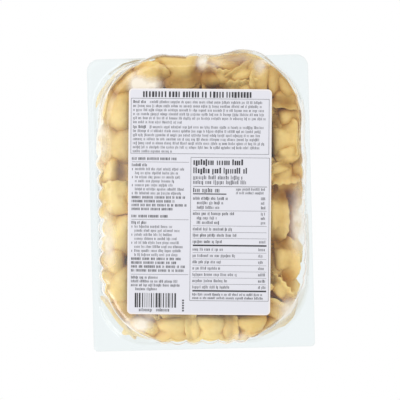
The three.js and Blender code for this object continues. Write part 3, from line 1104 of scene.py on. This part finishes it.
HEAP_TOP = 34
LIT, DARK = 2, 12  # how far into the heap the dough has no painted shade, and full painted shade


def depth_shade(points):
    """Painted shade by how deep each point lies in the heap: 0 on its outside, 1 well inside a
    gap.
    """
    below = HEAP_TOP - points[:, 2]
    from_wall = LIT - 1.3 * outside(SHOULDER, points[:, :2])
    above = LIT + points[:, 2] - FILM_HIGH[2]
    return smooth(LIT, DARK, np.minimum(np.minimum(below, from_wall), above))


def add_painted_shade(piece):
    """Adds painted shade on a piece's flanks and by its depth in the heap to its tone attribute.
    """
    mesh = piece.data
    flank_shade = smooth(0.95, 0.1, vertex_values(mesh, "normal")[:, 2])
    points = vertex_values(mesh, "co") / MM
    tone_shade_and_light = mesh.attributes.get("tone_shade_and_light") or mesh.attributes.new("tone_shade_and_light", "FLOAT", "POINT")
    values = np.empty(len(mesh.vertices), np.float32)
    tone_shade_and_light.data.foreach_get("value", values)
    # Painted shade on the flanks, weaker on the bright side, and painted shade deep in the heap.
    bright_side_ease = 1 - 0.35 * bright_share(points)
    values += bright_side_ease * FLANK_SHADE * flank_shade + DEPTH_SHADE * depth_shade(points)
    tone_shade_and_light.data.foreach_set("value", values)


COARSE = (18, 27, 12)  # steps round a corner and along the sides of a coarse ring
LOWER_TOP = 27.5  # how high the lower pieces reach round the label
LABEL_TOP = 34.5  # how high they reach below its middle


# The lower layers. Along the wall: height, distance from it and step along it. In the
# middle: height, steps across and along, and half the width and length that they fill.
WALL_LAYERS = ((8, 11, 17), (14, 15, 21))
MIDDLE_LAYERS = ((8, 24, 21, 44, 74), (25, 22, 18, 36, 66))
FILM_LAYER = 9.5  # height of the layer on the lid film


def lower_places():
    """Places for the pasta of the lower layers: along the wall, below, and under the label."""
    rng = np.random.default_rng(3)
    places = []
    points, normals = ring(SHOULDER, *COARSE)
    gaps = np.linalg.norm(np.diff(points, axis=0), axis=1)
    length = np.concatenate([[0], np.cumsum(gaps)])
    for z, margin, step in WALL_LAYERS:
        for at in np.arange(0, length[-1], step) + z:
            i = int(np.searchsorted(length, at % length[-1])) % len(points)
            clear = 6 * float(points[i][0] > 40 and points[i][1] < -5)
            plan = points[i] - normals[i] * (margin + clear)
            places.append((*plan, z + rng.uniform(-1, 1)))
    for z, step_x, step_y, wide, tall in MIDDLE_LAYERS:
        for row, y in enumerate(np.arange(-tall, tall + 1, step_y)):
            for x in np.arange(-wide, wide + 1, step_x) + (row % 2) * step_x / 2:
                stray = rng.uniform(-2, 2), rng.uniform(-2, 2), rng.uniform(-1, 1)
                places.append((x + stray[0], y + stray[1], z + stray[2]))
    return np.array(places)


def film_places():
    """Places for the pasta that lies on the lid film, between the lowest layer's pieces."""
    rng = np.random.default_rng(11)
    across, along = np.meshgrid(np.arange(-48, 49, 16), np.arange(-76, 77, 17))
    places = np.column_stack([across.ravel(), along.ravel(), np.full(across.size, FILM_LAYER)])
    return places + rng.uniform(-1, 1, places.shape) * (3, 3, 0.5)


CORE_TOP = 17
# Rings of the core, by height and distance inside the shoulder, from below inwards.
CORE_ROWS = ((11, 30), (7, 21), (5, 16), (7, 14), (12, 14), (16, 17), (CORE_TOP, 24))


def core_mesh():
    """The solid middle of the heap, well inside the loose pieces."""
    points, normals = ring(SHOULDER, *COARSE)
    rows = []
    for z, inset in CORE_ROWS:
        wave = 1.5 * np.sin(np.arange(len(points)) * 0.55 + z)
        plan = points - normals * (inset + wave)[:, None]
        rows.append(np.column_stack([plan, np.full(len(points), float(z))]))
    top = rows[-1][:, :2]
    middle = top.mean(0)
    for share in (0.8, 0.6, 0.4, 0.2):
        plan = middle + (top - middle) * share
        height = CORE_TOP + 1.2 * np.sin(plan[:, 0] * 0.3) * np.sin(plan[:, 1] * 0.25)
        rows.append(np.column_stack([plan, height]))
    return closed_loft(rows, (*rows[0][:, :2].mean(0), CORE_ROWS[0][0]), (*middle, CORE_TOP))


class PastaSettings(bpy.types.PropertyGroup):
    """Sizes and colours of the tortellini."""

    pale: FloatVectorProperty(
        name="Pale dough",
        description="Colour of the palest dough",
        default=(1.0, 0.758, 0.285),
        subtype="COLOR",
    )
    # The deep colour is also that of the dough's painted shade.
    deep: FloatVectorProperty(
        name="Deep dough",
        description="Colour of the deepest dough",
        default=(0.56, 0.27, 0.015),
        subtype="COLOR",
    )
    # The heap's solid middle is coloured in painted shade, as the dough deep between the pieces.
    core: FloatVectorProperty(
        name="Heap's depth",
        description="Colour deep between the pieces",
        default=(0.60, 0.33, 0.05),
        subtype="COLOR",
    )
    detail: IntProperty(
        name="Detail",
        description="Steps along the ruffled rim of a piece that lies against the shell",
        default=54,
        min=16,
        max=64,
    )


SECTION_STEPS = 30  # steps round the section of a piece that lies against the shell


def lower_shapes():
    """Five simpler tortellini to copy in the lower layers, as objects."""
    shapes = []
    for kind, wrap in enumerate((150, 140, 115, 100, 150)):
        points, faces, _ = tortellino(60 + kind, wrap=wrap, along=24, around=14)
        shapes.append(make_object(f"shape_{kind}", points, faces))
    return shapes


def lower_pasta(material):
    """The lower layers' tortellini as one object, pressed into the tray."""
    rng = np.random.default_rng(5)
    shapes = lower_shapes()
    places, turns, sizes, kinds = [], [], [], []
    for layer in (lower_places(), film_places()):
        places.append(layer)
        turns.append(rng.uniform(0, 6.28, (len(layer), 3)))
        sizes.append(rng.uniform(0.92, 1.06, (len(layer), 1)) * np.ones((1, 3)))
        kinds.append(rng.integers(0, len(shapes), len(layer)))
    rows = [np.concatenate(layers) for layers in (places, turns, sizes, kinds)]
    piece = copies("tortellini_lower", shapes, *rows, material)
    points = vertex_values(piece.data, "co") / MM
    under_label = smooth(-4, 3, -outside(LABEL, points[:, :2]))
    ceiling = LOWER_TOP + (LABEL_TOP - LOWER_TOP) * under_label
    pressed = press_inside(points, LOWER_GAP, ceiling) * MM
    piece.data.vertices.foreach_set("co", pressed.astype(np.float32).ravel())
    piece.data.update()
    return piece


class AddTortellini(bpy.types.Operator):
    """Add the tortellini that lie against the shell, and the ones below them"""

    bl_idname = "tortellini.add_tortellini"
    bl_label = "Add Tortellini"

    def execute(self, context):
        settings = context.scene.tortellini_pasta
        material = dough("egg_dough", (*settings.pale, 1), (*settings.deep, 1), 1500)
        points, faces, tone_shade_and_light = shown_pasta(SHOWN, settings.detail, SECTION_STEPS)
        upper = make_object("tortellini_upper", points, faces, material, {"tone_shade_and_light": tone_shade_and_light})
        add_painted_shade(upper)
        keep(upper, "tortellini", "tortellini")
        lower = lower_pasta(material)
        add_painted_shade(lower)
        keep(lower, "tortellini")
        return {"FINISHED"}


class AddCore(bpy.types.Operator):
    """Add the heap's solid middle, below the loose pieces"""

    bl_idname = "tortellini.add_core"
    bl_label = "Add Heap Core"

    def execute(self, context):
        settings = context.scene.tortellini_pasta
        # The core's colour is painted shade.
        material = dough("heap_shade", (*settings.core, 1), (*settings.core, 1), 600)
        points, faces = core_mesh()
        core = make_object("heap_core", points, faces, material)
        keep(core, "tortellini")
        return {"FINISHED"}


# ---- The label -----------------------------------------------------------------------


def on_label(right, down, height=0.0):
    """A place on the label, in millimetres from its top left corner, in the pack's frame."""
    x, y = right - LABEL["half"][0], LABEL["half"][1] - down
    cos, sin = math.cos(LABEL_TURN), math.sin(LABEL_TURN)
    return (
        LABEL_CENTRE[0] + cos * x - sin * y,
        LABEL_CENTRE[1] + sin * x + cos * y,
        LABEL_HIGH[2] + height,
    )


class LabelSettings(bpy.types.PropertyGroup):
    """Colours of the label and its print."""

    paper: FloatVectorProperty(
        name="Paper",
        description="Colour of the label's paper",
        default=(0.80, 0.80, 0.86),
        subtype="COLOR",
    )
    # The label's cut edge and the thin rim beside it carry a painted highlight, paler and warmer
    # than the paper.
    lit_edge: FloatVectorProperty(
        name="Cut edge",
        description="Colour of the label's bare edge",
        default=(0.93, 0.88, 0.86),
        subtype="COLOR",
    )
    ink: FloatVectorProperty(
        name="Ink",
        description="Colour of the print",
        default=(0.03, 0.03, 0.035),
        subtype="COLOR",
    )


class AddLabel(bpy.types.Operator):
    """Add the label's paper"""

    bl_idname = "tortellini.add_label"
    bl_label = "Add Label"

    def execute(self, context):
        settings = context.scene.tortellini_label
        edge, normals = ring(LABEL, 10, 24, 16)
        low, high = LABEL_LOW[2], LABEL_HIGH[2]
        rounded = ((0.2, low), (0, low + 0.05), (0, high - 0.05), (0.15, high))
        rows = []
        for inset, z in (*rounded, (0.9, high), (2.5, high)):
            rows.append(np.column_stack([edge - normals * inset, np.full(len(edge), z)]))
        local, faces = closed_loft(rows, (0, 0, low), (0, 0, high))
        cos, sin = math.cos(LABEL_TURN), math.sin(LABEL_TURN)
        turn = np.array([[cos, -sin], [sin, cos]])
        local[:, :2] = local[:, :2] @ turn.T + LABEL_CENTRE[:2]
        sheet = paper("label_paper", (*settings.paper, 1), (*np.array(settings.paper) * 0.985, 1))
        # Painted highlight on the cut edge and its rim.
        lit_edge_paper = paper("label_edge", (*settings.lit_edge, 1), (*np.array(settings.lit_edge) * 0.98, 1))
        label = make_object("label_sheet", local, faces, sheet, smooth_shade=False)
        label.data.materials.append(lit_edge_paper)
        cut = 4 * len(edge)  # the faces of the cut edge and the rim beside it, which carry a painted highlight
        edge_faces = [1] * cut + [0] * (len(faces) - cut)
        label.data.polygons.foreach_set("material_index", edge_faces)
        keep(label, "label", "label")
        return {"FINISHED"}


# Stand-in letters: their width as a share of the size, how often and how far a stroke
# rises or drops past the others, and a stroke's width as a share of its letter's.
LETTER_WIDE = (0.42, 0.62)
RISE_OFTEN, RISE = 0.3, 0.28
DROP_OFTEN, DROP = 0.12, 0.25
STROKE = 0.45


class Print:
    """Collects the label's printed bars: middle, half size, in label millimetres."""

    def __init__(self, seed):
        self.rng = np.random.default_rng(seed)
        self.bars = []

    def bar(self, left, top, right, bottom):
        """One printed bar."""
        self.bars.append(((left + right) / 2, (top + bottom) / 2, right - left, bottom - top))

    def box(self, left, top, right, bottom, line):
        """A printed frame."""
        self.bar(left, top, right, top + line)
        self.bar(left, bottom - line, right, bottom)
        self.bar(left, top + line, left + line, bottom - line)
        self.bar(right - line, top + line, right, bottom - line)

    def words(self, left, right, middle, size, weight=1.0, gap=0.9, capitals=False):
        """A line of stand-in words, each a run of plain strokes, up to right."""
        at = left
        uneven = 0.15 if capitals else 1.0
        while at < right - size:
            letters = int(self.rng.integers(2, 10))
            for _ in range(letters):
                wide = size * self.rng.uniform(*LETTER_WIDE)
                if at + wide > right:
                    return
                rise = size * (0.5 + uneven * (self.rng.random() < RISE_OFTEN) * RISE)
                drop = size * (0.5 + uneven * (self.rng.random() < DROP_OFTEN) * DROP)
                stroke = wide * STROKE * weight * self.rng.uniform(0.7, 1.15)
                self.bar(at, middle - rise, at + min(stroke, wide * 0.92), middle + drop)
                at += wide
            at += size * gap * 0.6


def label_print():
    """The label's plain print: a heading, text blocks, a table and a bar code's bars."""
    text, bold = Print(1), Print(2)
    bold.words(9.5, 86, 3.9, 3.8, 1.35, 0.5, capitals=True)
    text.box(1.5, 6.6, 94.3, 43.8, 0.22)
    for block, (top, count) in enumerate(((9.2, 6), (26.0, 7))):
        for row in range(count):
            y = top + row * 2.72
            last = row == count - 1
            left = 3.0
            if row == 0:
                bold.words(left, 13.5, y, 1.5, 1.2)
                left = 14.2
            right = (36 if block == 0 else 30) if last else text.rng.uniform(88, 93)
            text.words(left, right, y, 1.4)
    left_column(text, bold)
    table(text, bold)
    return text.bars, bold.bars


def left_column(text, bold):
    """Two blocks of directions, an address and a bar code's bars."""
    for top, heading, rows in ((47.2, 33, 7), (85.8, 27, 8)):
        bold.words(2.4, heading, top, 1.7, 1.3, capitals=True)
        text.bar(2.4, top + 2.1, 40.8, top + 2.3)
        bold.words(2.4, 13, top + 4.4, 1.5, 1.2)
        for row in range(rows):
            y = top + 7.1 + row * 2.7
            if row % 2 == 0:
                bold.bar(2.6, y - 0.7, 3.0, y + 0.7)
            text.words(4.6, text.rng.uniform(30, 39), y, 1.4)
        for row in range(4):
            y = top + 7.6 + (rows + row) * 2.62
            bold.words(2.5, bold.rng.uniform(30, 40), y, 1.6, 1.25, capitals=True)
    text.bar(2.4, 124.7, 40.8, 124.9)
    for row, right in enumerate((22, 34, 36, 20)):
        text.words(2.5 if row < 3 else 5.5, right, 127 + row * 2.6, 1.4, 1.2)
    at = 5.1
    while at < 32.5:
        wide = float(bold.rng.choice((0.35, 0.35, 0.7, 1.05)))
        bold.bar(at, 137.3, at + wide, 147.0)
        at += wide + float(bold.rng.choice((0.35, 0.7, 1.05, 1.05)))
    for start, end in ((2.2, 3.2), (8, 17.5), (19.5, 29), (34, 35)):
        text.words(start, end, 148.8, 1.7, 1.3, 0.0)
    for step in range(5):
        text.bar(36.9, 141.6 + step * 1.7, 38.1, 142.7 + step * 1.7)


def table(text, bold):
    """The table of values, with its rules."""
    left, right = 43.7, 93.2
    text.box(41.9, 46.0, 94.8, 142.3, 0.22)
    bold.words(left, 78.4, 49.6, 3.0, 1.45, 0.7)
    bold.words(left, 81.5, 55.2, 3.0, 1.45, 0.7)
    text.words(left, 78, 59.7, 2.0, 1.1)
    text.words(left, 80, 62.9, 2.0, 1.1)
    bold.bar(left, 65.4, right, 65.7)
    bold.words(left, 63.5, 68.3, 2.3, 1.3)
    bold.bar(left, 70.2, 66.0, 70.9)
    for y in (67.4, 69.9):
        text.words(72.5, 92.7, y, 1.35, 1.1)
    strong_rows = (73.7, 1, 24), (83.9, 1, 30)
    fine_rows = (76.7, 0, 22), (79.8, 0, 18), (86.9, 0, 17), (89.9, 0, 19)
    for y, strong, wide in sorted(strong_rows + fine_rows):
        line = bold if strong else text
        line.words(left + (0 if strong else 2.6), left + wide, y, 1.55, 1.15)
        text.words(89.3, 93.0, y, 1.5, 1.1)
    for y, wide in ((94.3, 27), (98.4, 31), (102.7, 20)):
        bold.words(left, left + wide, y, 1.55, 1.15)
    text.words(88.3, 93.0, 102.7, 1.5, 1.1)
    for y in (81.7, 91.9, 96.2, 100.3):
        text.bar(left, y, right, y + 0.18)
    bold.bar(left, 104.6, right, 105.6)
    for row in range(7):
        y = 107.9 + row * 4.22
        text.words(left, left + text.rng.uniform(17, 33), y, 1.5, 1.1)
        text.words(87.8, 93.0, y, 1.5, 1.1)
        if row < 6:
            text.bar(left, y + 2.0, right, y + 2.16)
    bold.bar(left, 135.1, right, 136.1)
    text.words(left, 91, 138.1, 1.25, 1.2)
    text.words(left, 92, 140.5, 1.25, 1.2)


HALVES = (-0.5, 0.5)
UNIT_BOX = np.array([[x, y, z] for z in HALVES for y in HALVES for x in HALVES])
BOX_SIDES = ((0, 2, 3, 1), (4, 5, 7, 6), (0, 1, 5, 4), (2, 6, 7, 3), (0, 4, 6, 2), (1, 3, 7, 5))
INK_HIGH, INK_THICK = 0.02, 0.08  # height of a bar's middle over the paper, and thickness


class AddPrint(bpy.types.Operator):
    """Add the label's plain printed bars, boxes and rules"""

    bl_idname = "tortellini.add_print"
    bl_label = "Add Label Print"

    def execute(self, context):
        settings = context.scene.tortellini_label
        colour = np.array(settings.ink)
        groups = zip(("print_fine", "print_bold"), label_print(), (2.2, 1.0))
        for name, bars, lighter in groups:
            bar = make_object(name + "_bar", UNIT_BOX, BOX_SIDES, smooth_shade=False)
            material = ink("ink_" + name, (*colour * lighter, 1), (*colour * lighter * 1.6, 1))
            places = [on_label(x, y, INK_HIGH) for x, y, _, _ in bars]
            sizes = [(wide, tall, INK_THICK) for _, _, wide, tall in bars]
            turns = [(0, 0, LABEL_TURN)] * len(bars)
            piece = copies(name, [bar], places, turns, sizes, [0] * len(bars), material)
            keep(piece, "label")
        return {"FINISHED"}


# ---- The stage -----------------------------------------------------------------------


class StudioSettings(bpy.types.PropertyGroup):
    """The camera and the lights."""

    height: FloatProperty(
        name="Camera height",
        description="Height of the camera above the surface that the pack lies on",
        default=0.75,
        unit="LENGTH",
    )
    lens: FloatProperty(
        name="Lens",
        description="Focal length",
        default=95.7,
        unit="CAMERA",
    )
    roll: FloatProperty(
        name="Camera roll",
        description="How far the camera is turned clockwise above the pack",
        default=math.radians(1.45),
        subtype="ANGLE",
    )


def glowing_floor():
    """A plain pale floor that glows evenly, as a light table does."""
    material, tree, output = new_material("light_table")
    glow = add_node(tree, "ShaderNodeEmission", (0, 0), {"Color": (1, 1, 1, 1), "Strength": 1.0})
    tree.links.new(glow.outputs[0], output.inputs["Surface"])
    half = 3000
    corners = [(-half, -half, -0.3), (half, -half, -0.3), (half, half, -0.3), (-half, half, -0.3)]
    return make_object("floor", corners, [(0, 1, 2, 3)], material)


# The lights, in metres and watts: place, size and power.
LIGHTS = (
    ("key", (-0.45, 0.45, 0.75), (0.8, 0.8), 2.4),
    ("low", (-0.6, -0.45, 0.25), (0.5, 0.3), 1.1),
)
AIM = (0, 0, 0.02)  # the middle of the pack


def soft_light(name, place, size, power):
    """A large soft area light aimed at the pack."""
    data = bpy.data.lights.new(name, "AREA")
    data.shape = "RECTANGLE"
    data.size, data.size_y = size
    data.energy = power
    light = bpy.data.objects.new(name, data)
    light.location = place
    turn = (Vector(AIM) - Vector(place)).to_track_quat("-Z", "Y")
    light.rotation_euler = turn.to_euler()
    bpy.context.scene.collection.objects.link(light)


class SetStage(bpy.types.Operator):
    """Add the floor, the lights and the camera"""

    bl_idname = "tortellini.set_stage"
    bl_label = "Set Stage"

    def execute(self, context):
        scene = context.scene
        settings = scene.tortellini_studio
        glowing_floor()
        world = bpy.data.worlds.new("studio")
        world.use_nodes = True
        world.node_tree.nodes["Background"].inputs[0].default_value = (1, 1, 1, 1)
        world.node_tree.nodes["Background"].inputs[1].default_value = 0.8
        scene.world = world
        for name, place, size, power in LIGHTS:
            soft_light(name, place, size, power)
        data = bpy.data.cameras.new("camera")
        data.lens = settings.lens
        data.sensor_width = 36
        camera = bpy.data.objects.new("camera", data)
        camera.location = (-0.00055, 0.00205, settings.height)
        camera.rotation_euler = (0, 0, -settings.roll)
        scene.collection.objects.link(camera)
        scene.camera = camera
        scene.view_settings.view_transform = "Standard"
        return {"FINISHED"}


# ---- Panel and registration ----------------------------------------------------------

OPERATORS = (SetStage, AddCore, AddTortellini, AddTray, AddLidFilm, AddLabel, AddPrint)
SETTINGS = {
    "tortellini_tray": TraySettings,
    "tortellini_pasta": PastaSettings,
    "tortellini_label": LabelSettings,
    "tortellini_studio": StudioSettings,
}


class TortelliniPanel(bpy.types.Panel):
    """Lists the pack's settings and pieces"""

    bl_idname = "VIEW3D_PT_tortellini"
    bl_label = "Tortellini Tray"
    bl_space_type = "VIEW_3D"
    bl_region_type = "UI"
    bl_category = "Tortellini"

    def draw(self, context):
        column = self.layout.column()
        for name, group in SETTINGS.items():
            for prop in group.__annotations__:
                column.prop(getattr(context.scene, name), prop)
        for operator in OPERATORS:
            column.operator(operator.bl_idname)


def register():
    for group in SETTINGS.values():
        bpy.utils.register_class(group)
    for operator in OPERATORS:
        bpy.utils.register_class(operator)
    bpy.utils.register_class(TortelliniPanel)
    for name, group in SETTINGS.items():
        setattr(bpy.types.Scene, name, PointerProperty(type=group))


def unregister():
    for name in SETTINGS:
        delattr(bpy.types.Scene, name)
    bpy.utils.unregister_class(TortelliniPanel)
    for operator in reversed(OPERATORS):
        bpy.utils.unregister_class(operator)
    for group in reversed(list(SETTINGS.values())):
        bpy.utils.unregister_class(group)


def main():
    register()
    bpy.ops.tortellini.set_stage()
    bpy.ops.tortellini.add_core()
    bpy.ops.tortellini.add_tortellini()
    bpy.ops.tortellini.add_tray()
    bpy.ops.tortellini.add_lid_film()
    bpy.ops.tortellini.add_label()
    bpy.ops.tortellini.add_print()


if __name__ == "__main__":
    main()
